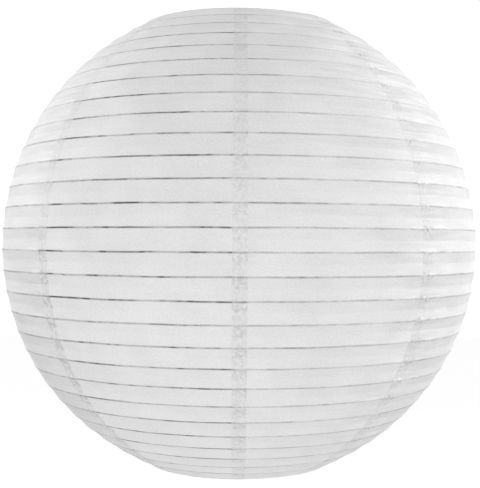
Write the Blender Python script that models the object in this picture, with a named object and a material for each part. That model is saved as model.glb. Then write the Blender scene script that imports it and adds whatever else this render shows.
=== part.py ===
"""A round white paper lantern, 350 mm across, hanging on its wire expander.

Metres, +Z up, -Y towards the front, where one paper seam runs down the middle. The origin
is the centre of the hanging eye. Every round wire and the paper on it are drawn with the same
32 flats, so the gap between them stays the same all the way round.
"""

import math

import bmesh
import bpy

MM = 0.001

# Shade
SHADE_R = 175.0 * MM  # hoop centreline at the widest place
SAG = 0.029  # the shade hangs this share of SHADE_R lower than a true sphere
SHOULDER = 0.006  # and is this much fuller just above and flatter just below its middle
TOP_FULL, BOTTOM_FULL = 0.006, 0.023  # and this much fuller still towards its ends
CROWDING = 0.009  # radians by which hoops crowd towards the ends
TOP_LATITUDE = 66.2  # degrees, of the top ring
BOTTOM_LATITUDE = -66.8
HOOPS = 27
HOOP_WIRE_R = 0.50 * MM  # corners of a four-sided section with the area of 0.8 mm round wire
END_RING_WIRE_R = 1.10 * MM  # corners of a six-sided section with the area of 2 mm round wire

# Paper
GORES = 8
PAPER = 0.08 * MM
CLEAR = 0.30 * MM
PLEAT_DEPTH = 1.2 * MM
LAP_HALF = 4.5 * MM  # each seam is a glued lap this much either side of its middle
HEM_FROM, HEM_TO, HEM_STEPS = 66.0, 255.0, 5  # degrees round the end ring that the hem wraps
FLATS = 32
FRONT_SEAM = 270.0

# Wire expander
WIRE_R = 1.055 * MM  # corners of an eight-sided section with the area of 2 mm round wire
WIRE_SIDES = 8
BEND_R = 2.2 * MM
BEND_STEPS = 4
EYE_R = 7.0 * MM  # centreline
EYE_STEPS = 24
EYE_ABOVE_RIM = 1.0 * MM
EYE_OFFSET = 1.30 * MM  # each way along Y, so the wire passes itself in the eye
SETTLE = 25.0 * MM  # along X from the eye, to where the wire is back in the XZ plane
CROSSBAR_FLAT = 2.2 * EYE_R  # the crossbar is level this far out, then climbs to the notch
LEG_INSIDE = 7.0 * MM  # foot of a leg, from its centreline in to the bottom ring's
LEG_TOP_INSIDE = 4.5 * MM  # head of a leg, also from the bottom ring, which slides up past it
# The notch that holds the top ring, as a V lying on its side
NOTCH_OUT, NOTCH_UP = 0.6 * MM, 5.4 * MM  # its mouth, from the top ring's centreline
NOTCH_ROOT = 4.5 * MM  # its bottom, inside the ring
NOTCH_ENTRY = 8.0 * MM  # the crossbar meets it this far inside the leg's head
NOTCH_EXIT = 7.0 * MM  # and the leg leaves it this far below its mouth
# The shoulder over the bottom ring and the lip under it
SHOULDER_IN, SHOULDER_UP = 3.4 * MM, 6.5 * MM  # the shoulder's tip, from the ring's centreline
SHOULDER_OVER, SHOULDER_UNDER = 6.0 * MM, 5.0 * MM  # where the leg bends towards and from it
LIP_OUT, LIP_DOWN = 2.0 * MM, 3.3 * MM  # the lip's end, from the ring's centreline
LIP_BEND = 1.5 * MM  # the lip is level from this far inside the ring
LIP_DIP = 1.6 * MM  # and the foot goes this much lower than it


def profile(latitude):
    """(radius, height above the middle) of the hoops' centreline at a latitude."""
    a = math.radians(latitude)
    a += CROWDING * math.sin(2 * a)
    full = (TOP_FULL if a > 0 else BOTTOM_FULL) * math.sin(a) ** 6
    size = SHADE_R * (1 + SAG * math.sin(a) - SHOULDER * math.sin(3 * a) + full)
    return size * math.cos(a), size * math.sin(a)


def normal(latitude):
    (r0, z0), (r1, z1) = profile(latitude - 0.5), profile(latitude + 0.5)
    size = math.hypot(r1 - r0, z1 - z0)
    return (z1 - z0) / size, (r0 - r1) / size


STEP = (TOP_LATITUDE - BOTTOM_LATITUDE) / (HOOPS + 1)
LATITUDES = [TOP_LATITUDE - STEP * k for k in range(HOOPS + 2)]
# The eye's centre is the origin, so the rim and everything under it hang below.
MIDDLE_Z = -EYE_ABOVE_RIM - profile(TOP_LATITUDE)[1]
LINES = [(r, z + MIDDLE_Z) for r, z in map(profile, LATITUDES)]
HALF_FLAT = 180.0 / FLATS


def flat_radius(radius, azimuth):
    """The distance from the axis to the 32-sided outline whose corners are at radius."""
    off = (azimuth - FRONT_SEAM + HALF_FLAT) % (2 * HALF_FLAT) - HALF_FLAT
    return radius * math.cos(math.radians(HALF_FLAT)) / math.cos(math.radians(off))


def at(radius, azimuth, z):
    r, a = flat_radius(radius, azimuth), math.radians(azimuth)
    return r * math.cos(a), r * math.sin(a), z


def material(name, colour, metallic, roughness):
    made = bpy.data.materials.new(name)
    made.use_nodes = True
    shader = made.node_tree.nodes["Principled BSDF"]
    shader.inputs["Base Color"].default_value = (*colour, 1.0)
    shader.inputs["Metallic"].default_value = metallic
    shader.inputs["Roughness"].default_value = roughness
    made.diffuse_color = (*colour, 1.0)
    return made


def add(name, points, faces, look):
    mesh = bpy.data.meshes.new(name)
    mesh.from_pydata(points, [], faces)
    work = bmesh.new()
    work.from_mesh(mesh)
    bmesh.ops.recalc_face_normals(work, faces=work.faces)
    bmesh.ops.triangulate(work, faces=work.faces, quad_method="FIXED")
    work.to_mesh(mesh)
    work.free()
    mesh.materials.append(look)
    made = bpy.data.objects.new(name, mesh)
    bpy.context.scene.collection.objects.link(made)
    return made


def wire_ring(name, radius, z, latitude, wire_r, sides, look):
    """A closed ring of wire, with one edge of its section facing out of the shade."""
    out = math.radians(latitude)
    points, faces = [], []
    for i in range(FLATS):
        azimuth = FRONT_SEAM + (i + 0.5) * 360.0 / FLATS
        for j in range(sides):
            a = out + 2 * math.pi * j / sides
            points.append(
                at(radius + wire_r * math.cos(a), azimuth, z + wire_r * math.sin(a))
            )
    for i in range(FLATS):
        for j in range(sides):
            a, b = i * sides, (i + 1) % FLATS * sides
            k = (j + 1) % sides
            faces.append((a + j, b + j, b + k, a + k))
    return add(name, points, faces, look)


def hem(centre, upwards, layer):
    """The fold of paper round an end ring, as (radius, z, outward direction), from its free
    edge inside the shade to where it meets the first or last pleat."""
    inner = END_RING_WIRE_R + CLEAR + layer
    rows = []
    for step in range(HEM_STEPS + 1):
        turn = math.radians(HEM_TO + (HEM_FROM - HEM_TO) * step / HEM_STEPS)
        out = math.cos(turn), upwards * math.sin(turn)
        rows.append((centre[0] + inner * out[0], centre[1] + inner * out[1], out))
    return rows


def gore_rows(layer):
    """The paper's inner face from the top hem down to the bottom hem."""
    lift = HOOP_WIRE_R + CLEAR + layer
    rows = hem(LINES[0], 1, layer)
    ridges = [
        (r + lift * normal(a)[0], z + lift * normal(a)[1])
        for (r, z), a in zip(LINES, LATITUDES)
    ]
    for k in range(1, HOOPS + 2):
        middle = (LATITUDES[k - 1] + LATITUDES[k]) / 2
        n = normal(middle)
        r = (ridges[k - 1][0] + ridges[k][0]) / 2 - PLEAT_DEPTH * n[0]
        z = (ridges[k - 1][1] + ridges[k][1]) / 2 - PLEAT_DEPTH * n[1]
        rows.append((r, z, n))
        if k <= HOOPS:
            rows.append((*ridges[k], normal(LATITUDES[k])))
    return rows + hem(LINES[-1], -1, layer)[::-1]


def gore(name, number, look):
    """One paper panel. Odd panels lie on the hoops and even panels lap over their edges."""
    start = FRONT_SEAM + 360.0 / GORES * number
    layer = (PAPER + CLEAR) * (number % 2)
    rows = gore_rows(layer)
    flats = FLATS // GORES
    points = []
    for r, z, out in rows:
        lap = math.degrees(LAP_HALF / r)
        columns = [start - lap]
        columns += [start + HALF_FLAT + 2 * HALF_FLAT * i for i in range(flats)]
        columns += [start + 360.0 / GORES + lap]
        for thick in (0.0, PAPER):
            for azimuth in columns:
                points.append(at(r + thick * out[0], azimuth, z + thick * out[1]))
    width = flats + 2
    faces = []
    for i in range(len(rows) - 1):
        a, b = 2 * width * i, 2 * width * (i + 1)
        for j in range(width - 1):
            faces.append((a + j, b + j, b + j + 1, a + j + 1))
            c, d = a + width, b + width
            faces.append((c + j, c + j + 1, d + j + 1, d + j))
        faces.append((a, a + width, b + width, b))
        faces.append((a + width - 1, b + width - 1, b + 2 * width - 1, a + 2 * width - 1))
    last = 2 * width * (len(rows) - 1)
    for base, turn in ((0, 1), (last, -1)):
        for j in range(width - 1):
            quad = (base + j, base + j + 1, base + width + j + 1, base + width + j)
            faces.append(quad[::turn])
    return add(name, points, faces, look)


def rounded(corners):
    """A path through corners in the XZ plane, with each inside corner bent to BEND_R."""
    path = [corners[0]]
    for before, here, after in zip(corners, corners[1:], corners[2:]):
        one = before[0] - here[0], before[1] - here[1]
        two = after[0] - here[0], after[1] - here[1]
        long_one, long_two = math.hypot(*one), math.hypot(*two)
        turn = math.acos(
            max(-1.0, min(1.0, (one[0] * two[0] + one[1] * two[1]) / long_one / long_two))
        )
        back = min(BEND_R / math.tan(turn / 2), 0.45 * long_one, 0.45 * long_two)
        a = here[0] + one[0] * back / long_one, here[1] + one[1] * back / long_one
        b = here[0] + two[0] * back / long_two, here[1] + two[1] * back / long_two
        for i in range(BEND_STEPS + 1):
            t = i / BEND_STEPS
            path.append(
                tuple(
                    (1 - t) ** 2 * a[m] + 2 * t * (1 - t) * here[m] + t * t * b[m]
                    for m in (0, 1)
                )
            )
    return path + [corners[-1]]


def expander_path():
    """The wire's centreline, from the left foot, up its leg, through the eye and down again."""
    top_r, top_z = flat_radius(LINES[0][0], 0.0), LINES[0][1]
    low_r, low_z = flat_radius(LINES[-1][0], 0.0), LINES[-1][1]
    leg_low, leg_top = low_r - LEG_INSIDE, low_r - LEG_TOP_INSIDE
    dip = -EYE_R
    right = rounded(
        [
            (EYE_R * 0.55, dip),
            (CROSSBAR_FLAT, dip),
            (leg_top - NOTCH_ENTRY, top_z + NOTCH_UP),
            (top_r + NOTCH_OUT, top_z + NOTCH_UP),
            (top_r - NOTCH_ROOT, top_z),
            (top_r + NOTCH_OUT, top_z - NOTCH_UP),
            (leg_top, top_z - NOTCH_UP - NOTCH_EXIT),
            (leg_low, low_z + SHOULDER_UP + SHOULDER_OVER),
            (low_r - SHOULDER_IN, low_z + SHOULDER_UP),
            (leg_low, low_z + SHOULDER_UP - SHOULDER_UNDER),
            (leg_low, low_z - LIP_DOWN - LIP_DIP),
            (low_r - LIP_BEND, low_z - LIP_DOWN),
            (low_r + LIP_OUT, low_z - LIP_DOWN),
        ]
    )
    eye = []
    for i in range(EYE_STEPS + 1):
        a = -math.pi / 2 + 2 * math.pi * i / EYE_STEPS
        y = EYE_OFFSET * (2 * i / EYE_STEPS - 1)
        eye.append((EYE_R * math.cos(a), y, EYE_R * math.sin(a)))

    def settle(x):
        return min(1.0, max(0.0, 1.0 - (x - EYE_R) / SETTLE))

    out = [(x, EYE_OFFSET * settle(x), z) for x, z in right]
    left = [(-x, -y, z) for x, y, z in out]
    return left[::-1] + eye + out


def tube(name, path, radius, sides, look):
    """A wire along a path, its section carried along without twisting, with flat ends."""
    count = len(path)

    def minus(a, b):
        return tuple(x - y for x, y in zip(a, b))

    def unit(a):
        size = math.sqrt(sum(x * x for x in a))
        return tuple(x / size for x in a)

    def cross(a, b):
        return (
            a[1] * b[2] - a[2] * b[1],
            a[2] * b[0] - a[0] * b[2],
            a[0] * b[1] - a[1] * b[0],
        )

    def dot(a, b):
        return sum(x * y for x, y in zip(a, b))

    up = (0.0, 1.0, 0.0)
    points, faces = [], []
    for i, here in enumerate(path):
        before, after = path[max(i - 1, 0)], path[min(i + 1, count - 1)]
        one = unit(minus(here, before)) if i else unit(minus(after, here))
        two = unit(minus(after, here)) if i < count - 1 else one
        along = unit(tuple(x + y for x, y in zip(one, two)))
        stretch = 1.0 / max(dot(one, along), 0.5)
        up = unit(minus(up, tuple(dot(up, along) * x for x in along)))
        side = cross(along, up)
        bend = minus(two, one)
        size = math.sqrt(dot(bend, bend))
        bend = tuple(x / size for x in bend) if size > 1e-6 else (0.0, 0.0, 0.0)
        for j in range(sides):
            a = 2 * math.pi * (j + 0.5) / sides
            off = tuple(
                radius * (math.cos(a) * side[m] + math.sin(a) * up[m]) for m in range(3)
            )
            more = dot(off, bend) * (stretch - 1.0)
            points.append(tuple(here[m] + off[m] + more * bend[m] for m in range(3)))
    for i in range(count - 1):
        for j in range(sides):
            k = (j + 1) % sides
            a, b = i * sides, (i + 1) * sides
            faces.append((a + j, a + k, b + k, b + j))
    faces.append(tuple(range(sides))[::-1])
    faces.append(tuple((count - 1) * sides + j for j in range(sides)))
    return add(name, points, faces, look)


def main():
    for old in list(bpy.data.objects):
        bpy.data.objects.remove(old)
    for k in range(1, HOOPS + 1):
        look = material(f"hoop_wire_{k:02d}", (0.52, 0.52, 0.51), 1.0, 0.42)
        radius, z = LINES[k]
        wire_ring(f"wire_hoop_{k:02d}", radius, z, LATITUDES[k], HOOP_WIRE_R, 4, look)
    for name, k in (("top_ring", 0), ("bottom_ring", HOOPS + 1)):
        look = material(f"{name}_wire", (0.50, 0.50, 0.49), 1.0, 0.38)
        wire_ring(name, *LINES[k], 0.0, END_RING_WIRE_R, 6, look)
    for number in range(GORES):
        look = material(f"gore_paper_{number + 1}", (0.88, 0.88, 0.87), 0.0, 0.85)
        gore(f"paper_gore_{number + 1}", number, look)
    look = material("expander_wire", (0.62, 0.62, 0.62), 1.0, 0.30)
    tube("wire_expander", expander_path(), WIRE_R, WIRE_SIDES, look)


main()
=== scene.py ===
"""The looks of a round white paper lantern: eight pleated tissue gores glued to wire hoops.

Metres, +Z up, -Y towards the front. The rings and hoops of the frame say where every ridge of
the paper lies. A place on the paper is (azimuth, pleat): the pleat coordinate is 0 at the top
ring, a whole number at each hoop and 28 at the bottom ring.
"""

import math

import bpy
import numpy as np
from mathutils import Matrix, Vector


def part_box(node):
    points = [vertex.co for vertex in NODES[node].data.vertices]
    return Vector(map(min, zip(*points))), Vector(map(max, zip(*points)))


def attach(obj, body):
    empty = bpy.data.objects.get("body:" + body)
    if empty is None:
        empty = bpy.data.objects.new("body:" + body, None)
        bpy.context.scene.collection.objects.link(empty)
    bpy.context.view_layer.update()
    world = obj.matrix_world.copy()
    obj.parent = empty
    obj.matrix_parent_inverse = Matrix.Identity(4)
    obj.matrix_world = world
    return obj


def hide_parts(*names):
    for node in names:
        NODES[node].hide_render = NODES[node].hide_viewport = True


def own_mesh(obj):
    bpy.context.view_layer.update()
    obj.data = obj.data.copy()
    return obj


MM = 0.001
SHARP_ANGLE = math.radians(50)  # steeper edges, such as a sheet's rim, are shaded sharp

# Paper
GORES = 8
GORE_ANGLE = 360.0 / GORES
FRONT_SEAM = 270.0  # degrees, anticlockwise from +X seen from above
SEAM_DRIFT = (0.2, -1.5, 0.3, 0.6, -0.4, 0.5, -0.3, -1.1)  # degrees, each lap from its place
PAPER = 0.09 * MM
LAP_HALF = 4.6 * MM
LIFT = 0.75 * MM  # the paper's inner face outside a hoop's centreline
RING_GAP = 0.30 * MM  # and outside an end ring's wire
LAYER = 0.105 * MM  # every other gore laps this much further out
SEAM_FOLD = 0.12  # mm that a lap's fold is deeper than its gores' folds
SEAM_WRINKLE = 2.6  # times their wrinkles
SEAM_REACH = 3.5 * LAP_HALF  # from a seam to where its paper no longer creases with it
GORE_COLUMNS = 72
HOOP_PULL = 0.25 * MM  # how unevenly the hoops are drawn, over cells of degrees and pleats
PULL_CELL = (11.0, 2.0)
# Rows of the sheet in one pleat, close together at the hoop and at the fold half way down.
PLEAT_ROWS = (0.0, 0.035, 0.12, 0.24, 0.37, 0.465, 0.5, 0.535, 0.63, 0.76, 0.88, 0.965)

# Each gore's own character, front right first, going round to the right. Pairs are at its left and
# right edge. fold: depth of the fold half way down a pleat, mm; bow: how far the slack pleat bows
# in, mm; wrinkle: size of creases, mm; painted_shade: how much darker a pleat's upper half is
# painted than its lower half, as shade, which also scales the painted streak and crease marks;
# wire: how dark the hoops' lines are, the wire showing through with painted crease shade; high:
# how much of that is left near the top, where the paper is slack; dull: how much darker the lower
# half is painted, as shade; lap: how dark the left and the right lap is, above and below.
GORE_LOOKS = (
    {
        "fold": 0.26, "bow": 0.10, "wrinkle": 0.14, "painted_shade": (0.007, 0.036), "wire": (0.68, 0.42),
        "high": (0.95, 0.18), "dull": 0.0, "lap": ((0.15, 0.15), (0.20, 0.25)),
    },
    {
        "fold": 0.30, "bow": 0.06, "wrinkle": 0.30, "painted_shade": (0.046, 0.036), "wire": (0.46, 0.36),
        "high": (0.12, 0.15), "dull": 0.016, "lap": ((0.12, 0.30), (0.20, 0.30)),
    },
    {
        "fold": 0.50, "bow": 0.15, "wrinkle": 0.30, "painted_shade": (0.030, 0.025), "wire": (0.60, 0.55),
        "high": (0.50, 0.80), "dull": 0.01, "lap": ((0.30, 0.30), (0.30, 0.30)),
    },
    {
        "fold": 0.45, "bow": 0.20, "wrinkle": 0.25, "painted_shade": (0.025, 0.020), "wire": (0.75, 0.80),
        "high": (0.80, 1.00), "dull": 0.0, "lap": ((0.30, 0.35), (0.30, 0.30)),
    },
    {
        "fold": 0.40, "bow": 0.15, "wrinkle": 0.22, "painted_shade": (0.020, 0.020), "wire": (0.80, 0.70),
        "high": (1.00, 0.80), "dull": 0.0, "lap": ((0.35, 0.35), (0.30, 0.30)),
    },
    {
        "fold": 0.50, "bow": 0.15, "wrinkle": 0.30, "painted_shade": (0.025, 0.030), "wire": (0.65, 0.60),
        "high": (0.80, 0.60), "dull": 0.01, "lap": ((0.30, 0.30), (0.30, 0.30)),
    },
    {
        "fold": 0.30, "bow": 0.06, "wrinkle": 0.28, "painted_shade": (0.034, 0.030), "wire": (0.50, 0.60),
        "high": (0.40, 0.45), "dull": 0.058, "lap": ((0.25, 0.30), (0.20, 0.20)),
    },
    {
        "fold": 0.24, "bow": 0.10, "wrinkle": 0.14, "painted_shade": (0.014, 0.006), "wire": (1.15, 1.05),
        "high": (0.70, 0.90), "dull": 0.0, "lap": ((0.24, 1.00), (0.38, 0.56)),
    },
)

# How the slack paper hangs. A share of a gore's fold or bow changes from patch to patch and from
# pleat to pleat. Ripples, creases and crumples each have a share of a gore's wrinkle, a width
# along the pleat and a number to a pleat.
PATCH = 45 * MM
FOLD_CHANGE, BOW_CHANGE = (0.35, 1.7), (0.5, 2.3)
RIPPLE = (0.35, 28 * MM, 5.0)
CREASE = (0.30, 7 * MM, 1.3)
CRUMPLE = (0.20, 2.6 * MM, 6.0)
CREASE_SLANT = 1.4
CREASE_WANDER = (1.5, 20 * MM)  # creases that a crease wanders, over this width
CREASE_FLOOR = -0.4  # between creases the paper is level

# Wires
HOOP_WIRE_R = 0.40 * MM
HOOP_SEGMENTS, HOOP_SIDES = 128, 8
END_WIRE_R = 1.00 * MM
RING_SEGMENTS, RING_SIDES = 128, 12

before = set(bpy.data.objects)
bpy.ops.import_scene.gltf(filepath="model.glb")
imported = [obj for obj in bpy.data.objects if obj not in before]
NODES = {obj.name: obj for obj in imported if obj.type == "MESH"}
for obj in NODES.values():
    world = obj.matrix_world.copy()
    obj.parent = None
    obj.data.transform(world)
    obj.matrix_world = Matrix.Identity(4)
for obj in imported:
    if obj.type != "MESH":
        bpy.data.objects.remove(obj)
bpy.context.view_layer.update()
HOOP_NODES = sorted(n for n in NODES if n.startswith("wire_hoop_"))
GORE_NODES = sorted(n for n in NODES if n.startswith("paper_gore_"))
PLEATS = len(HOOP_NODES) + 1


def ring_line(node):
    """(radius, height) of a ring's centreline."""
    corners = np.array([v.co for v in NODES[node].data.vertices], float)
    radii = np.hypot(corners[:, 0], corners[:, 1])
    low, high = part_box(node)
    return (radii.min() + radii.max()) / 2, (low.z + high.z) / 2


LINES = np.array([ring_line(n) for n in ("top_ring", *HOOP_NODES, "bottom_ring")])
TOP_Z, BOTTOM_Z = LINES[0, 1], LINES[-1, 1]
SHADE_R = LINES[:, 0].max()
MIDDLE_Z = LINES[LINES[:, 0].argmax(), 1]


def outward(points):
    """Unit normals (radius, height) pointing out of the shade, along a line of points."""
    along = np.gradient(points, axis=0)
    normals = np.stack([-along[:, 1], along[:, 0]], 1)
    return normals / np.linalg.norm(normals, axis=1, keepdims=True)


RIDGE_LIFTS = np.full(PLEATS + 1, LIFT)
RIDGE_LIFTS[[0, -1]] = END_WIRE_R + RING_GAP
RIDGES = LINES + outward(LINES) * RIDGE_LIFTS[:, None]


HASH_X, HASH_Y, HASH_SEED, HASH_SIZE = 12.9898, 78.233, 37.719, 43758.5453


def noise(x, y, seed):
    """Smooth noise from -1 to 1, with one cell to a unit."""
    x, y = np.broadcast_arrays(x, y)
    cell_x, cell_y = np.floor(x), np.floor(y)
    fx, fy = x - cell_x, y - cell_y
    fx, fy = fx * fx * (3 - 2 * fx), fy * fy * (3 - 2 * fy)

    def corner(i, j):
        mixed = np.sin((cell_x + i) * HASH_X + (cell_y + j) * HASH_Y + seed * HASH_SEED)
        return 2 * np.modf(np.abs(mixed) * HASH_SIZE)[0] - 1

    near = corner(0, 0) * (1 - fx) + corner(1, 0) * fx
    far = corner(0, 1) * (1 - fx) + corner(1, 1) * fx
    return near * (1 - fy) + far * fy


def ridged(x, y, seed):
    """Sharp creases: 1 along the crease lines of a noise and falling away on both sides."""
    return 1 - np.abs(noise(x, y, seed)) * 2


def smooth(value, low, high):
    """0 at low and under, 1 at high and over, smoothly between."""
    t = np.clip((value - low) / (high - low), 0, 1)
    return t * t * (3 - 2 * t)


def seam_azimuth(number):
    """Degrees round the shade to a seam, counted anticlockwise from the front one."""
    number %= GORES
    return FRONT_SEAM + GORE_ANGLE * number + SEAM_DRIFT[number]


def pleat_rows():
    """The pleat coordinate of every row of points down a gore."""
    rows = [k + t for k in range(PLEATS) for t in PLEAT_ROWS]
    return np.array([*rows, float(PLEATS)])


def facets_at(pleat):
    """Points on the straight facets from ridge to ridge, and the facets' normals."""
    k = np.clip(np.floor(pleat).astype(int), 0, PLEATS - 1)
    t = (pleat - k)[:, None]
    base = RIDGES[k] * (1 - t) + RIDGES[k + 1] * t
    facet = RIDGES[k + 1] - RIDGES[k]
    normals = np.stack([-facet[:, 1], facet[:, 0]], 1)
    return base, normals / np.linalg.norm(facet, axis=1)[:, None]


def new_mesh(name, points, faces, uvs=None):
    """A smooth object, with a place in each UV layer for every point."""
    mesh = bpy.data.meshes.new(name)
    mesh.from_pydata(points.tolist(), [], faces.tolist())
    corners = np.empty(len(mesh.loops), int)
    mesh.loops.foreach_get("vertex_index", corners)
    for key, values in (uvs or {}).items():
        layer = mesh.uv_layers.new(name=key)
        layer.data.foreach_set("uv", values[corners].astype(np.float32).ravel())
    mesh.validate()
    mesh.shade_smooth()
    mesh.set_sharp_from_angle(angle=SHARP_ANGLE)
    made = bpy.data.objects.new(name, mesh)
    bpy.context.scene.collection.objects.link(made)
    return made


def grid(*parts):
    """Each part at every place of the grid that they make together."""
    return np.stack(np.broadcast_arrays(*parts), -1)


def turned(radius, azimuth, z):
    """Points turned round the shade's axis by an azimuth in radians."""
    return grid(radius * np.cos(azimuth), radius * np.sin(azimuth), z)


def slab_faces(rows, columns):
    """Quads of a sheet with an outer and an inner side and a rim, over a grid of points."""
    outer = np.arange(rows * columns).reshape(rows, columns)
    inner = outer + rows * columns

    def quads(a):
        return grid(a[:-1, :-1], a[1:, :-1], a[1:, 1:], a[:-1, 1:]).reshape(-1, 4)

    def strip(a, b):
        return grid(a[:-1], b[:-1], b[1:], a[1:])

    return np.concatenate(
        [
            quads(outer),
            quads(inner)[:, ::-1],
            strip(outer[0], inner[0])[:, ::-1],
            strip(outer[-1], inner[-1]),
            strip(outer[:, 0], inner[:, 0]),
            strip(outer[:, -1], inner[:, -1])[:, ::-1],
        ]
    )


def slack(across, patch, k, t, fold, bow, wrinkle, seed):
    """How far the paper of pleat k hangs in, in mm: its fold, its bow, ripples and creases.
    across is in metres along the pleat, and t goes from 0 to 1 down it."""
    away = np.sin(np.pi * t)  # 0 where the paper is glued to a hoop
    pleat = k + t
    depth = fold * (1 + FOLD_CHANGE[0] * noise(patch, k * FOLD_CHANGE[1], seed + 1))
    depth = depth * (1 - np.abs(2 * t - 1))
    depth = depth + bow * away * (1 + BOW_CHANGE[0] * noise(patch, k * BOW_CHANGE[1], seed + 2))
    (ripple, ripple_width, ripples), (crumple, crumple_width, crumples) = RIPPLE, CRUMPLE
    creased, crease_width, creases = CREASE
    ripple = ripple * noise(across / ripple_width, pleat * ripples, seed + 3)
    wander = CREASE_WANDER[0] * noise(across / CREASE_WANDER[1], k, seed + 4)
    slant = across / crease_width + wander + CREASE_SLANT * t
    crease = creased * np.clip(ridged(slant, pleat * creases, seed + 5), CREASE_FLOOR, 1)
    crumple = crumple * noise(across / crumple_width, pleat * crumples, seed + 6)
    return depth + wrinkle * (ripple + crease + crumple) * away


SEEDS_PER_GORE, SEAM_SEED, PULL_SEED = 10.0, 200.0, 3.0


def gore_slack(index, pleat, left, right):
    """How far a gore's paper hangs in, in mm. Both sheets of a lap are glued, so they crease
    together. left and right are metres from the gore's edges."""
    look = GORE_LOOKS[index]
    k, t = np.floor(pleat), pleat % 1.0
    own = look["fold"], look["bow"], look["wrinkle"]
    inward = slack(left, left / PATCH, k, t, *own, SEEDS_PER_GORE * index)
    for number, off in ((index, left - LAP_HALF), (index + 1, LAP_HALF - right)):
        number %= GORES
        before, after = GORE_LOOKS[number - 1], GORE_LOOKS[number]
        shared = [(before[key] + after[key]) / 2 for key in ("fold", "bow", "wrinkle")]
        shared[0] += SEAM_FOLD
        shared[2] *= SEAM_WRINKLE
        glued = 1 - smooth(np.abs(off), LAP_HALF, SEAM_REACH)
        both = slack(off, 0 * off, k, t, *shared, SEAM_SEED + SEEDS_PER_GORE * number)
        inward = inward * (1 - glued) + both * glued
    return inward


def gore_skin(index):
    """One tissue gore over all its pleats."""
    pleat = pleat_rows()
    base, facet_normal = facets_at(pleat)
    ridge_normal = outward(base)
    radius, pleat = base[:, :1], pleat[:, None]
    start, end = seam_azimuth(index), seam_azimuth(index + 1)
    end += 360.0 if end < start else 0.0
    lap = np.degrees(LAP_HALF / radius)
    share = np.linspace(0, 1, GORE_COLUMNS + 1)[None, :]
    azimuth = start - lap + (end - start + 2 * lap) * share
    left = np.radians(azimuth - start) * radius + LAP_HALF
    right = np.radians(end - azimuth) * radius + LAP_HALF

    lift = LAYER * (index % 2) - gore_slack(index, pleat, left, right) * MM
    uneven = noise(azimuth / PULL_CELL[0], pleat / PULL_CELL[1], PULL_SEED)
    inner_r = radius + lift * facet_normal[:, :1] + HOOP_PULL * uneven
    inner_z = base[:, 1:] + lift * facet_normal[:, 1:]
    points = []
    for depth in (PAPER, 0.0):
        r, z = inner_r + depth * ridge_normal[:, :1], inner_z + depth * ridge_normal[:, 1:]
        points.append(turned(r, np.radians(azimuth), z).reshape(-1, 3))

    place = grid(left / MM, pleat).reshape(-1, 2)
    edges = grid(left / MM, right / MM).reshape(-1, 2)
    uvs = {"paper": np.concatenate([place] * 2), "edges": np.concatenate([edges] * 2)}
    faces = slab_faces(len(pleat), GORE_COLUMNS + 1)
    return new_mesh(f"paper_skin_{index + 1}", np.concatenate(points), faces, uvs)


class Graph:
    """A short way to write the nodes of a material or a world."""

    def __init__(self, owner, output="ShaderNodeOutputMaterial"):
        owner.use_nodes = True
        self.owner, self.kind = owner, output
        self.tree = owner.node_tree
        self.tree.nodes.clear()

    def add(self, kind, inputs=None, **settings):
        node = self.tree.nodes.new(kind)
        for key, value in settings.items():
            setattr(node, key, value)
        for key, value in (inputs or {}).items():
            self.set(node.inputs[key], value)
        return node

    def set(self, socket, value):
        if isinstance(value, bpy.types.NodeSocket):
            self.tree.links.new(value, socket)
        else:
            socket.default_value = value

    def math(self, operation, *values, clamp=False):
        node = self.add("ShaderNodeMath", operation=operation, use_clamp=clamp)
        for socket, value in zip(node.inputs, values):
            self.set(socket, value)
        return node.outputs[0]

    def total(self, first, *others):
        for other in others:
            first = self.math("ADD", first, other)
        return first

    def product(self, first, *others):
        for other in others:
            first = self.math("MULTIPLY", first, other)
        return first

    def ramp(self, value, low, high, to_low=0.0, to_high=1.0):
        """value from low..high, smoothly to to_low..to_high."""
        limits = {"From Min": low, "From Max": high, "To Min": to_low, "To Max": to_high}
        node = self.add(
            "ShaderNodeMapRange", {"Value": value, **limits}, interpolation_type="SMOOTHSTEP"
        )
        return node.outputs[0]

    def noise(self, vector, scale, detail=2.0, roughness=0.5, distortion=0.0):
        look = {"Detail": detail, "Roughness": roughness, "Distortion": distortion}
        node = self.add("ShaderNodeTexNoise", {"Vector": vector, "Scale": scale, **look})
        return node.outputs["Fac"]

    def grain(self, vector, cells, **look):
        """Noise with so many cells to a unit along each axis of vector."""
        cells = (*cells, 1.0)[:3]
        stretched = self.add("ShaderNodeMapping", {"Vector": vector, "Scale": cells}).outputs[0]
        return self.noise(stretched, 1.0, **look)

    def bump(self, height, strength, distance):
        inputs = {"Height": height, "Strength": strength, "Distance": distance}
        return self.add("ShaderNodeBump", inputs).outputs[0]

    def tissue(self, colour, roughness, bump, translucency):
        """Thin paper: a dull face with some light coming through."""
        surface = {"Roughness": roughness, "Specular IOR Level": PAPER_SPECULAR, "Normal": bump}
        face = self.add("ShaderNodeBsdfPrincipled", {"Base Color": colour, **surface})
        through = self.add("ShaderNodeBsdfTranslucent", {"Color": colour, "Normal": bump})
        return self.blend(translucency, face, through)

    def blend(self, factor, one, two):
        shaders = {0: factor, 1: one.outputs[0], 2: two.outputs[0]}
        return self.add("ShaderNodeMixShader", shaders).outputs[0]

    def mix(self, factor, one, two):
        node = self.add("ShaderNodeMix", data_type="RGBA")
        self.set(node.inputs[0], factor)
        self.set(node.inputs[6], one)
        self.set(node.inputs[7], two)
        return node.outputs[2]

    def output(self, shader):
        self.add(self.kind, {"Surface": shader})
        return self.owner


def material_graph(name):
    return Graph(bpy.data.materials.new(name))


PAPER_COLOUR = (0.82, 0.82, 0.818, 1.0)
PAPER_SPECULAR = 0.25
LAP_COLOUR = (0.62, 0.62, 0.62, 1.0)
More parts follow.
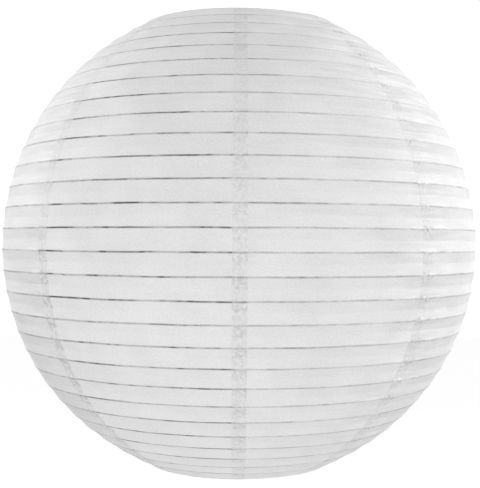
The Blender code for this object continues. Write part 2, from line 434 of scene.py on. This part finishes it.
# painted shade: the colour of the hoops' dark lines, where the wire shows through and the crease
# at the hoop is shaded
WIRE_AND_CREASE_SHADE_COLOUR = (0.11, 0.11, 0.11, 1.0)
TRANSLUCENCY, HEM_TRANSLUCENCY = 0.25, 0.15

# Marks on the paper. Distances from a hoop or a seam are in millimetres, other places in pleats.
PLEAT_MM = float(np.linalg.norm(np.diff(RIDGES, axis=0), axis=1).mean()) / MM
OWN_NOISE = (1000.0, 37.0)  # the step between two gores' places in the same noise
LINE_FADE = (0.18, 0.86)  # from a hoop, where its dark line starts to fade and where it ends
LINE_WAVER = 0.05  # the most that a line wavers, from one side to the other
LAP_EDGE = 0.25  # half the width of a lap's soft edge
LAP_HIDES = 0.45  # how much of a hoop's dark line a lap's second sheet hides
NEAR_TOP = (4.0, 13.0)  # where the slack of the topmost pleats starts to end and ends
LOW_DOWN = (11.0, 17.0)  # where the marks of the upper part turn into those of the lower part
FOLD_SHADE_FADES, FOLD_SHADE_LEFT = (16.0, 21.0), 0.4  # over these pleats the painted fold shade fades to this share
FOLD_FIRST, FOLD_RANGE = 0.33, 0.34  # the fold's highest place down a pleat, and how much lower
FOLD_SOFT = 0.05  # half the fold's own width
STREAKED = (6.0, 42.0)  # from a seam, where the painted light and shade of streak marks on the pulled paper start to fade and end
STREAKS_AT_SEAM, STREAKS_AT_TOP = 1.3, 1.7  # how much stronger they are there
HIGHLIGHT_FROM = (0.80, 0.93)  # down a pleat, where the paper above a hoop gets a painted highlight
HIGHLIGHT_SHARE = 3.0  # times a painted streak mark
PUCKERED = (4.0, 17.0)  # from a seam, where the painted shade and highlights of its creases start to fade and end
HOOP_PUCKER_REACH = (0.4, 3.6)  # from a hoop, where the painted shade of its puckered places starts to fade and ends
HOOP_PUCKER_SHARE = 1.9  # times a painted crease
PUCKER_SHADE = -3.2  # times the gore's painted shade
PAPER_BUMP, HEM_BUMP, STEEL_BUMP = (0.45, 0.3 * MM), (0.5, 0.2 * MM), (0.25, 0.05 * MM)


class Tissue(Graph):
    """The tissue of one gore, with the places and patches that its marks depend on."""

    def __init__(self, index):
        super().__init__(bpy.data.materials.new(f"tissue_{index + 1}"))
        self.look = GORE_LOOKS[index]
        place = self.add("ShaderNodeUVMap", uv_map="paper").outputs[0]
        self.pleat = self.add("ShaderNodeSeparateXYZ", {"Vector": place}).outputs[1]
        self.down_pleat = self.math("FRACT", self.pleat)
        self.near_top = self.ramp(self.pleat, *NEAR_TOP, 1.0, 0.0)
        self.low_down = self.ramp(self.pleat, *LOW_DOWN)

        edges = self.add("ShaderNodeUVMap", uv_map="edges").outputs[0]
        edges = self.add("ShaderNodeSeparateXYZ", {"Vector": edges})
        seams = edges.outputs[0], edges.outputs[1]
        self.share = self.math("DIVIDE", seams[0], self.math("ADD", *seams))
        self.from_seam = self.math("MINIMUM", *seams)
        lap = 2 * LAP_HALF / MM
        self.laps = [self.ramp(edge, lap - LAP_EDGE, lap + LAP_EDGE, 1.0, 0.0) for edge in seams]

        shifted = self.add("ShaderNodeVectorMath", operation="ADD")
        self.set(shifted.inputs[0], place)
        self.set(shifted.inputs[1], (OWN_NOISE[0] * index, OWN_NOISE[1] * index, 0.0))
        self.own = shifted.outputs[0]
        self.loose = self.ramp(self.marks((0.018, 0.93)), 0.3, 0.7, 0.35, 1.35)
        self.specks = self.marks((1.0, 14.0), roughness=0.8)
        self.glue = self.marks((0.40, 5.0), detail=3.0, roughness=0.7)
        self.painted_shade = self.across(self.look["painted_shade"])

    def marks(self, cells, **look):
        """The gore's own noise, with cells to a millimetre along a pleat and to a pleat down."""
        return self.grain(self.own, cells, **look)

    def across(self, pair):
        """From the first value at the gore's left edge to the second at its right edge."""
        return self.ramp(self.share, 0.0, 1.0, *pair)

    def from_hoop(self):
        """How far the nearest hoop is, wavering a little."""
        waver = self.math("MULTIPLY_ADD", self.marks((0.03, 0.9)), LINE_WAVER, -LINE_WAVER / 2)
        away = self.math("PINGPONG", self.math("ADD", self.pleat, waver), 0.5)
        return self.math("MULTIPLY", away, PLEAT_MM)

    def wire(self, from_hoop):
        """The hoop's dark line: the wire showing through the tissue, darkest where the paper is
        pressed hard against it, with painted shade of the crease at the hoop.
        """
        pressed = self.marks((0.022, 1.31), detail=3.0, roughness=0.6)
        dashes = self.marks((0.11, 2.3), roughness=0.6)
        dark = self.ramp(pressed, 0.42, 0.64, 0.46, 0.92)
        dark = self.math("ADD", dark, self.ramp(dashes, 0.45, 0.7, -0.14, 0.24))
        bare = self.math("MULTIPLY_ADD", self.math("MAXIMUM", *self.laps), -LAP_HIDES, 1.0)
        faded = self.math("SUBTRACT", self.across(self.look["high"]), 1.0)
        faded = self.math("MULTIPLY_ADD", faded, self.near_top, 1.0)
        dark = self.product(dark, bare, faded)
        dark = self.math("MULTIPLY", dark, self.across(self.look["wire"]), clamp=True)
        return self.math("MULTIPLY", self.ramp(from_hoop, *LINE_FADE, 1.0, 0.0), dark)

    def fold(self):
        """How far down from a pleat's soft fold a place is, and 0 above to 1 below the fold."""
        waver = self.marks((0.03, 0.8), detail=4.0, roughness=0.6)
        place = self.math("MULTIPLY_ADD", waver, FOLD_RANGE, FOLD_FIRST)
        down = self.math("SUBTRACT", self.down_pleat, place)
        return down, self.ramp(down, -FOLD_SOFT, FOLD_SOFT)

    def painted_fold_shade(self, down, lower):
        """Painted shade: a pleat's upper half, which leans down, is painted darker, and its lower
        half, which leans up, is painted lighter.
        """
        # painted shade and light of a pleat's fold
        painted_fold_shade = self.math("MULTIPLY_ADD", lower, 1.5, -0.9)
        painted_fold_shade = self.math("ADD", painted_fold_shade, self.math("MULTIPLY", down, 0.5))
        fading = self.ramp(self.pleat, *FOLD_SHADE_FADES, 1.0, FOLD_SHADE_LEFT)
        return self.product(painted_fold_shade, self.loose, self.painted_shade, fading)

    def mottle_and_low_shade(self):
        """Fibres, clouds and specks, and painted shade that darkens the lower part."""
        fibres = self.marks((0.62, 9.0), detail=6.0, roughness=0.7)
        clouds = self.marks((0.03, 0.4), detail=3.0)
        mottle_and_low_shade = self.total(
            self.ramp(fibres, 0.3, 0.7, -0.028, 0.028),
            self.ramp(clouds, 0.3, 0.7, -0.020, 0.020),
            self.ramp(self.specks, 0.25, 0.75, -0.032, 0.032),
        )
        # painted shade: the lower part darker by the gore's dull share
        return self.math("MULTIPLY_ADD", self.low_down, -self.look["dull"], mottle_and_low_shade)

    def streaks(self):
        """Painted light and shade in streak marks where the paper is pulled towards a seam, and a
        painted highlight just above a hoop, where it catches the light.
        """
        streak_shading = self.marks((0.03, 5.0), detail=3.0, roughness=0.55)
        streak_shading = self.math("MULTIPLY_ADD", streak_shading, 2.6, -2.1)
        streak_shading = self.math("MULTIPLY_ADD", self.specks, 1.6, streak_shading)
        by_seam = self.ramp(self.from_seam, *STREAKED, 1.0, 0.0)
        more = self.math("MULTIPLY_ADD", by_seam, STREAKS_AT_SEAM, 1.0)
        more = self.math("MULTIPLY_ADD", self.near_top, STREAKS_AT_TOP, more)
        # painted highlight where the paper above a hoop catches the light
        painted_highlight = self.ramp(self.marks((0.035, 1.7), detail=3.0, roughness=0.6), 0.48, 0.62)
        above_hoop = self.ramp(self.down_pleat, *HIGHLIGHT_FROM)
        painted_highlight = self.product(painted_highlight, above_hoop, by_seam, HIGHLIGHT_SHARE)
        return self.product(self.total(self.product(streak_shading, more), painted_highlight), self.painted_shade)

    def doubled(self, lower):
        """Glue and the second sheet darken a lap, and painted shade keeps it darker above the fold
        than below.
        """
        sides = []
        for inside, (above, below) in zip(self.laps, self.look["lap"]):
            dark = self.math("MULTIPLY_ADD", self.low_down, below - above, above)
            sides.append(self.math("MULTIPLY", inside, dark))
        glued = self.ramp(self.glue, 0.36, 0.64, 0.0, 1.4)
        doubled = self.product(self.math("MAXIMUM", *sides), glued)
        # painted shade: below the fold a lap's darkening is halved
        upper = self.math("MULTIPLY_ADD", lower, -0.5, 1.0)
        return self.math("MULTIPLY", doubled, upper, clamp=True)

    def painted_puckers(self, from_hoop):
        """Painted shade and highlights round the laps: dark puckered places at the hoops, and
        short slanting creases, each a painted dark line with a painted light one on either side."""
        hoop_pucker_shade = self.ramp(from_hoop, *HOOP_PUCKER_REACH, 1.0, 0.0)
        hoop_pucker_shade = self.product(hoop_pucker_shade, self.ramp(self.glue, 0.45, 0.66))
        creases = self.marks((0.19, 2.1), roughness=0.6, distortion=1.4)
        off_crease = self.math("ABSOLUTE", self.math("SUBTRACT", creases, 0.5))
        middle = self.ramp(off_crease, 0.0, 0.020, 1.0, 0.0)
        creased = self.math("SUBTRACT", middle, self.ramp(off_crease, 0.030, 0.055, 0.45, 0.0))
        # painted shade and highlights of puckered places and creases
        pucker_shading = self.math("MULTIPLY_ADD", hoop_pucker_shade, HOOP_PUCKER_SHARE, creased)
        near_seam = self.ramp(self.from_seam, *PUCKERED, 1.0, 0.0)
        dark = self.across([PUCKER_SHADE * painted_shade for painted_shade in self.look["painted_shade"]])
        return self.product(pucker_shading, near_seam, self.loose, dark)


def paper_material(index):
    """White tissue: the hoop shows through as an uneven dark line, partly painted crease shade,
    laps are a shade darker, and painted shade and highlights follow the folds, streak marks and
    creases.
    """
    g = Tissue(index)
    from_hoop = g.from_hoop()
    down, lower = g.fold()
    colour = g.mix(g.doubled(lower), PAPER_COLOUR, LAP_COLOUR)
    # painted shade and highlights of the folds, streak marks and creases; fibres, clouds and
    # specks are the paper's own
    shade = g.total(g.mottle_and_low_shade(), g.streaks(), g.painted_fold_shade(down, lower), g.painted_puckers(from_hoop))
    lit = g.add("ShaderNodeBrightContrast", {"Color": colour, "Bright": shade}).outputs[0]
    # the hoops' lines: the wire showing through, with painted crease shade
    lit = g.mix(g.wire(from_hoop), lit, WIRE_AND_CREASE_SHADE_COLOUR)

    fine = g.marks((1.1, 16.0), detail=4.0, roughness=0.7)
    crinkle = g.marks((0.16, 3.0), detail=3.0, distortion=0.8)
    relief = g.total(g.product(fine, 0.25), g.product(crinkle, 0.75))
    rough = g.ramp(fine, 0.2, 0.8, 0.82, 0.96)
    return g.output(g.tissue(lit, rough, g.bump(relief, *PAPER_BUMP), TRANSLUCENCY))


# Steel wire: colour and roughness
HOOP_STEEL = ((0.50, 0.50, 0.49, 1.0), 0.42)
RING_STEEL = ((0.48, 0.48, 0.47, 1.0), 0.36)
EXPANDER_STEEL = ((0.62, 0.62, 0.61, 1.0), 0.28)
DULL_STEEL = 0.72  # of the colour


def steel_material(name, colour, roughness):
    """Drawn steel wire, with fine scratches and slightly dull patches."""
    g = material_graph(name)
    where = g.add("ShaderNodeTexCoord").outputs["Object"]
    patches = g.noise(where, 90.0, detail=4.0, roughness=0.6)
    scratches = g.grain(where, (60.0, 60.0, 4000.0), detail=3.0)
    dull = tuple(DULL_STEEL * c for c in colour[:3]) + (1.0,)
    tint = g.mix(g.ramp(patches, 0.3, 0.7), dull, colour)
    rough = g.ramp(patches, 0.3, 0.75, roughness + 0.12, roughness - 0.04)
    rough = g.math("ADD", rough, g.ramp(scratches, 0.3, 0.7, -0.05, 0.05))
    surface = {"Metallic": 1.0, "Roughness": rough, "Normal": g.bump(scratches, *STEEL_BUMP)}
    shader = g.add("ShaderNodeBsdfPrincipled", {"Base Color": tint, **surface})
    return g.output(shader.outputs[0])


def round_ring(name, node, wire_r, segments, sides):
    """A ring of round wire on a CAD ring's centreline."""
    radius, z = ring_line(node)
    around = 2 * np.pi * np.arange(segments) / segments
    section = 2 * np.pi * np.arange(sides) / sides
    a, s = np.meshgrid(around, section, indexing="ij")
    points = turned(radius + wire_r * np.cos(s), a, z + wire_r * np.sin(s)).reshape(-1, 3)
    here = np.arange(segments * sides).reshape(segments, sides)
    beyond, above = np.roll(here, -1, 0), np.roll(here, -1, 1)
    faces = grid(here, beyond, np.roll(beyond, -1, 1), above).reshape(-1, 4)
    return new_mesh(name, points, faces)


def build_paper():
    """The gores' skins, on the hanger in place of the CAD gores."""
    for index, node in enumerate(GORE_NODES):
        skin = gore_skin(index)
        skin.data.materials.append(paper_material(index))
        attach(skin, "hanger")
        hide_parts(node)
        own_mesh(skin)


HEM_COLUMNS = 256
HEM_STEPS = 14
HEM_FROM, HEM_TO = 60.0, 255.0  # degrees round the wire, from the shade's outside to its inside
HEM_GAP = 0.12 * MM  # from the wire
HEM_LAP, LAP_SLOPE = 0.10 * MM, 0.3 * MM  # how far a lap stands out, and the width of its edge
HEM_CREASE, HEM_CREASE_WIDTH = 0.10 * MM, 5 * MM
CREASES_ROUND = 2.0  # to a radian round the wire
HEM_MARKS = 0.09  # pleats to a radian round the wire, for the paper's marks


def hem(name, node, upwards, seed):
    """The gores' ends folded over an end ring and glued down inside, lapped like the gores."""
    radius, z = ring_line(node)
    azimuth = np.linspace(0, 2 * np.pi, HEM_COLUMNS + 1)[:, None]
    turn = np.radians(np.linspace(HEM_FROM, HEM_TO, HEM_STEPS + 1))[None, :]
    around = azimuth * radius / HEM_CREASE_WIDTH
    seams = np.radians([seam_azimuth(n) for n in range(GORES)])
    off = np.abs((azimuth[..., None] - seams + np.pi) % (2 * np.pi) - np.pi).min(-1) * radius
    lapped = HEM_LAP / (1 + np.exp((off - LAP_HALF) / LAP_SLOPE))
    loops = azimuth / (2 * np.pi)  # blend the noise's start into its end
    down = turn * CREASES_ROUND
    first, last = noise(around, down, seed), noise(around - around[-1], down, seed)
    creased = first * (1 - loops) + last * loops
    inner = END_WIRE_R + HEM_GAP + lapped + HEM_CREASE * (creased + 1) / 2
    points = []
    for depth in (PAPER, 0.0):
        r = radius + (inner + depth) * np.cos(turn)
        height = z + upwards * (inner + depth) * np.sin(turn)
        points.append(turned(r, azimuth, height)[:-1].reshape(-1, 3))
    columns = HEM_STEPS + 1
    outer = np.arange(HEM_COLUMNS * columns).reshape(HEM_COLUMNS, columns)
    inside = outer + outer.size

    def ribbon(a, b, flip):
        quad = grid(a, b, np.roll(b, -1, 0), np.roll(a, -1, 0)).reshape(-1, 4)
        return quad[:, ::-1] if flip else quad

    flip = upwards < 0
    faces = np.concatenate(
        [
            ribbon(outer[:, :-1], outer[:, 1:], not flip),
            ribbon(inside[:, :-1], inside[:, 1:], flip),
            ribbon(outer[:, 0], inside[:, 0], flip),
            ribbon(outer[:, -1], inside[:, -1], not flip),
        ]
    )
    place = grid(azimuth * radius / MM, turn * HEM_MARKS)[:-1].reshape(-1, 2)
    return new_mesh(name, np.concatenate(points), faces, {"paper": np.concatenate([place] * 2)})


def hem_material():
    """Tissue doubled and glued: a shade darker than the gores, and finely crinkled."""
    g = material_graph("tissue_hem")
    place = g.add("ShaderNodeUVMap", uv_map="paper").outputs[0]
    glue = g.grain(place, (0.5, 6.0), detail=4.0, roughness=0.7)
    colour = g.mix(g.ramp(glue, 0.3, 0.7), LAP_COLOUR, PAPER_COLOUR)
    rough = g.ramp(glue, 0.2, 0.8, 0.80, 0.95)
    return g.output(g.tissue(colour, rough, g.bump(glue, *HEM_BUMP), HEM_TRANSLUCENCY))


def build_hems():
    """The folded ends of the paper round both end rings."""
    look = hem_material()
    for name, node, upwards, body, seed in (
        ("top_hem", "top_ring", 1, "hanger", 71.0),
        ("bottom_hem", "bottom_ring", -1, "bottom_end", 72.0),
    ):
        made = hem(name, node, upwards, seed)
        made.data.materials.append(look)
        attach(made, body)


def build_wires():
    """Round wire for the hoops and both end rings, and steel on the CAD expander."""
    hoop_steel = steel_material("hoop_steel", *HOOP_STEEL)
    ring_steel = steel_material("ring_steel", *RING_STEEL)
    expander_steel = steel_material("expander_steel", *EXPANDER_STEEL)
    for node in HOOP_NODES:
        name = node.replace("wire_hoop", "round_hoop")
        hoop = round_ring(name, node, HOOP_WIRE_R, HOOP_SEGMENTS, HOOP_SIDES)
        hoop.data.materials.append(hoop_steel)
        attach(hoop, node.replace("wire_hoop", "hoop"))
        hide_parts(node)
    for name, node, body in (
        ("round_top_ring", "top_ring", "hanger"),
        ("round_bottom_ring", "bottom_ring", "bottom_end"),
    ):
        ring = round_ring(name, node, END_WIRE_R, RING_SEGMENTS, RING_SIDES)
        ring.data.materials.append(ring_steel)
        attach(ring, body)
        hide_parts(node)
    for slot in NODES["wire_expander"].material_slots:
        slot.material = expander_steel


# Camera, level and about as high as the middle of the shade
CAMERA_DISTANCE = 4.477 * SHADE_R
CAMERA_RISE = 0.0423 * SHADE_R
LENS, SENSOR = 75.84, 36.0  # mm
SHIFT = (0.0022, -0.0083)
ROLL = -0.27  # degrees
NEAREST, FARTHEST = 0.01, 50.0


def build_camera():
    """A long lens, straight in front."""
    data = bpy.data.cameras.new("camera")
    data.lens, data.sensor_width = LENS, SENSOR
    data.shift_x, data.shift_y = SHIFT
    data.clip_start, data.clip_end = NEAREST, FARTHEST
    camera = bpy.data.objects.new("camera", data)
    bpy.context.scene.collection.objects.link(camera)
    camera.location = (0.0, -CAMERA_DISTANCE, MIDDLE_Z + CAMERA_RISE)
    camera.rotation_euler = (math.radians(90), math.radians(ROLL), 0.0)
    bpy.context.scene.camera = camera


FLOOR_DROP = 0.75  # metres under the shade
ROOM = 9.0  # metres from the middle of the floor to its sides
FLOOR_TINTS = (0.93, 0.93, 0.93, 1.0), (0.95, 0.95, 0.95, 1.0)
FLOOR_ROUGHNESS = 0.9
FLOOR_GLOW = 0.55  # keeps the shown floor white


def build_room():
    """A plain pale floor, far enough under the shade to leave it no shadow of its own."""
    g = material_graph("studio_white")
    where = g.add("ShaderNodeTexCoord").outputs["Object"]
    tint = g.mix(g.noise(where, 1.5, detail=3.0), *FLOOR_TINTS)
    surface = {"Base Color": tint, "Roughness": FLOOR_ROUGHNESS}
    glow = {"Emission Color": tint, "Emission Strength": FLOOR_GLOW}
    plain = g.add("ShaderNodeBsdfPrincipled", surface)
    shown = g.add("ShaderNodeBsdfPrincipled", {**surface, **glow})
    seen = g.add("ShaderNodeLightPath").outputs["Is Camera Ray"]
    look = g.output(g.blend(seen, plain, shown))
    corners = ((-ROOM, -ROOM), (ROOM, -ROOM), (ROOM, ROOM), (-ROOM, ROOM))
    points = np.array([(x, y, BOTTOM_Z - FLOOR_DROP) for x, y in corners])
    floor = new_mesh("studio_floor", points, np.array([[0, 1, 2, 3]]))
    floor.data.materials.append(look)


# Light from a white room: how bright it is in each direction, as an even part and a slope
ROOM_LIGHT = 0.97
ROOM_SLOPE = (-0.30, -0.30, -0.16)  # brighter to the left, in front and below
CEILING_DIM = 0.74  # straight up, less than level
SHOWN_WHITE = 1.05
WHITE = (1.0, 1.0, 1.0, 1.0)

# Soft lamps, all aimed at the shade: place, size across and watts
LAMPS = {
    "window_right": ((1.45, 0.85, 0.62), 0.9, 18.0),
    "window_left": ((-1.35, 0.72, 0.80), 0.9, 17.5),
    "side_right": ((1.57, 0.00, 0.60), 0.9, 11.9),
    "front_fill": ((0.00, -2.16, -0.10), 1.2, 11.8),
}


def build_light():
    """The white room as the world, and the lamps."""
    world = bpy.data.worlds.new("white_room")
    bpy.context.scene.world = world
    g = Graph(world, "ShaderNodeOutputWorld")
    where = g.add("ShaderNodeTexCoord").outputs["Generated"]
    slope = g.add("ShaderNodeVectorMath", operation="DOT_PRODUCT")
    g.set(slope.inputs[0], where)
    g.set(slope.inputs[1], ROOM_SLOPE)
    level = g.math("ADD", slope.outputs["Value"], ROOM_LIGHT)
    height = g.add("ShaderNodeSeparateXYZ", {"Vector": where}).outputs[2]
    dimmed = g.math("MULTIPLY_ADD", g.math("MULTIPLY", height, height), -CEILING_DIM, level)
    light = g.add("ShaderNodeBackground", {"Color": WHITE, "Strength": dimmed})
    shown = g.add("ShaderNodeBackground", {"Color": WHITE, "Strength": SHOWN_WHITE})
    seen = g.add("ShaderNodeLightPath").outputs["Is Camera Ray"]
    g.output(g.blend(seen, light, shown))

    for name, (place, size, watts) in LAMPS.items():
        data = bpy.data.lights.new(name, "AREA")
        data.shape, data.size, data.energy = "DISK", size, watts
        lamp = bpy.data.objects.new(name, data)
        bpy.context.scene.collection.objects.link(lamp)
        lamp.location = place
        x, y, z = np.array([0, 0, MIDDLE_Z]) - np.array(place)
        tip, turn = math.atan2(math.hypot(x, y), -z), math.atan2(y, x) - math.pi / 2
        lamp.rotation_euler = (tip, 0.0, turn)


def main():
    bpy.context.scene.view_settings.view_transform = "Standard"
    build_paper()
    build_hems()
    build_wires()
    build_room()
    build_light()
    build_camera()


main()
